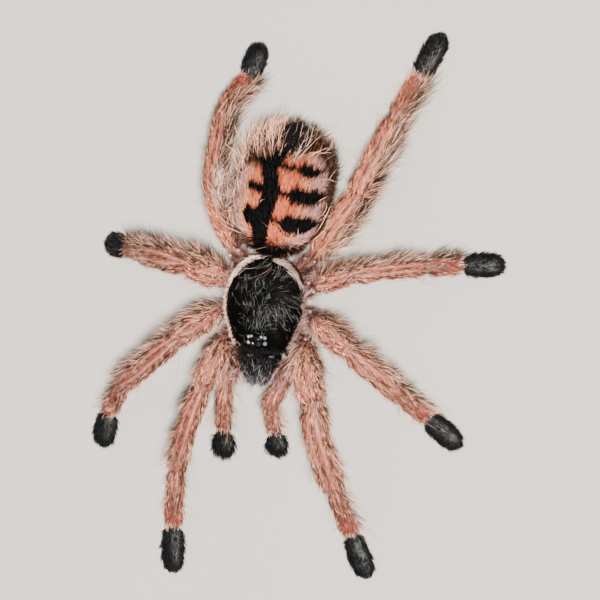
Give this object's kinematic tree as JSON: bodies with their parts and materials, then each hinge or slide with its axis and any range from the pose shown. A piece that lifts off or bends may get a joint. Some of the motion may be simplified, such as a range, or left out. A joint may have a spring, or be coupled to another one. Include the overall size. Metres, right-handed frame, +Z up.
{
  "type": "pink toe tarantula",
  "caption": "Still, life-size model of a young tree-living tarantula standing with its legs spread: pink legs, black feet, glossy black carapace, orange and black banded abdomen.",
  "frame": {"origin": "on the floor under the middle of the whole animal's bounding box, with every foot flat at z = 0", "axes": "+Z up, -Y towards the jaws, +X towards the animal's left"},
  "size_m": [0.0342, 0.0438, 0.0078],
  "materials": {
    "limb_coat": "dusty pink skin under a coat of fine pink and pale hairs, matt",
    "foot_pad": "dense velvety black hairs with a slate-grey sheen",
    "carapace_shell": "glossy black shell with radiating grooves and lying silver-grey hairs, pale at the rim",
    "abdomen_coat": "velvet in black, salmon orange and pale grey bands, with long pale hairs",
    "underside": "brown-pink hairy plate",
    "jaw": "satin black with grey hairs",
    "fang": "polished black-brown",
    "eye": "wet gloss black"
  },
  "bodies": {
    "root": {"carapace": "carapace_shell", "sternum": "underside", "eye_mound": "eye", "chelicera_left": "jaw", "fang_left": "fang", "chelicera_right": "jaw", "fang_right": "fang", "pedicel": "underside", "abdomen": "abdomen_coat", "spinneret_left": "abdomen_coat", "spinneret_right": "abdomen_coat", "leg_1_left_coxa": "limb_coat", "leg_1_left_femur": "limb_coat", "leg_1_left_tibia": "limb_coat", "leg_1_left_metatarsus": "limb_coat", "leg_1_left_tarsus": "foot_pad", "leg_2_left_coxa": "limb_coat", "leg_2_left_femur": "limb_coat", "leg_2_left_tibia": "limb_coat", "leg_2_left_metatarsus": "limb_coat", "leg_2_left_tarsus": "foot_pad", "leg_3_left_coxa": "limb_coat", "leg_3_left_femur": "limb_coat", "leg_3_left_tibia": "limb_coat", "leg_3_left_metatarsus": "limb_coat", "leg_3_left_tarsus": "foot_pad", "leg_4_left_coxa": "limb_coat", "leg_4_left_femur": "limb_coat", "leg_4_left_tibia": "limb_coat", "leg_4_left_metatarsus": "limb_coat", "leg_4_left_tarsus": "foot_pad", "leg_1_right_coxa": "limb_coat", "leg_1_right_femur": "limb_coat", "leg_1_right_tibia": "limb_coat", "leg_1_right_metatarsus": "limb_coat", "leg_1_right_tarsus": "foot_pad", "leg_2_right_coxa": "limb_coat", "leg_2_right_femur": "limb_coat", "leg_2_right_tibia": "limb_coat", "leg_2_right_metatarsus": "limb_coat", "leg_2_right_tarsus": "foot_pad", "leg_3_right_coxa": "limb_coat", "leg_3_right_femur": "limb_coat", "leg_3_right_tibia": "limb_coat", "leg_3_right_metatarsus": "limb_coat", "leg_3_right_tarsus": "foot_pad", "leg_4_right_coxa": "limb_coat", "leg_4_right_femur": "limb_coat", "leg_4_right_tibia": "limb_coat", "leg_4_right_metatarsus": "limb_coat", "leg_4_right_tarsus": "foot_pad", "palp_left_coxa": "limb_coat", "palp_left_femur": "limb_coat", "palp_left_tibia": "limb_coat", "palp_left_tarsus": "foot_pad", "palp_right_coxa": "limb_coat", "palp_right_femur": "limb_coat", "palp_right_tibia": "limb_coat", "palp_right_tarsus": "foot_pad"}
  },
  "joints": []
}
